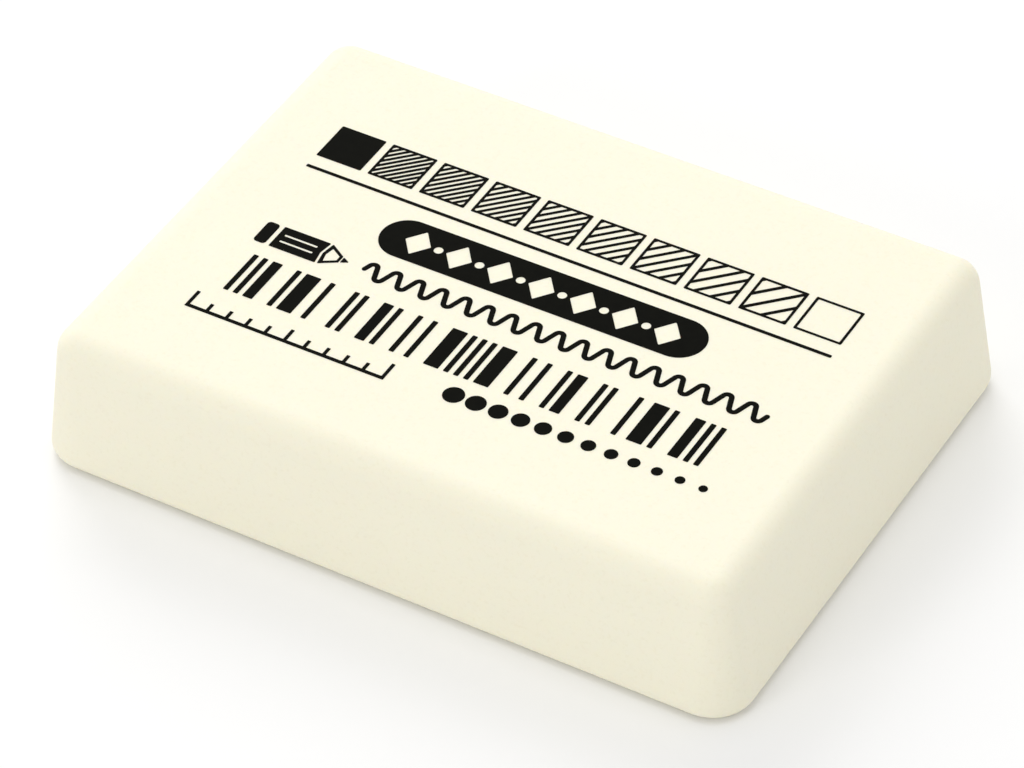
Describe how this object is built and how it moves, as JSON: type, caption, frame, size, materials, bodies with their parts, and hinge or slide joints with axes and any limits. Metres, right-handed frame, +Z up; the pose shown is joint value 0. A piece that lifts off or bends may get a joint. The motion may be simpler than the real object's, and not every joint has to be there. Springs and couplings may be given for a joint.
{
  "type": "rubber eraser",
  "caption": "Small block eraser of cream rubber: a flat slab with softly rolled edges and rounded corners, for rubbing out pencil.",
  "frame": {"origin": "centre of the underside, on the surface the eraser lies on", "axes": "+X along the length, +Y along the width towards the head of the printed face, +Z up out of the printed face"},
  "size_m": [0.035, 0.0258, 0.007],
  "materials": {
    "cream_rubber": "matte"
  },
  "bodies": {
    "root": {"eraser_block": "cream_rubber"}
  },
  "joints": []
}
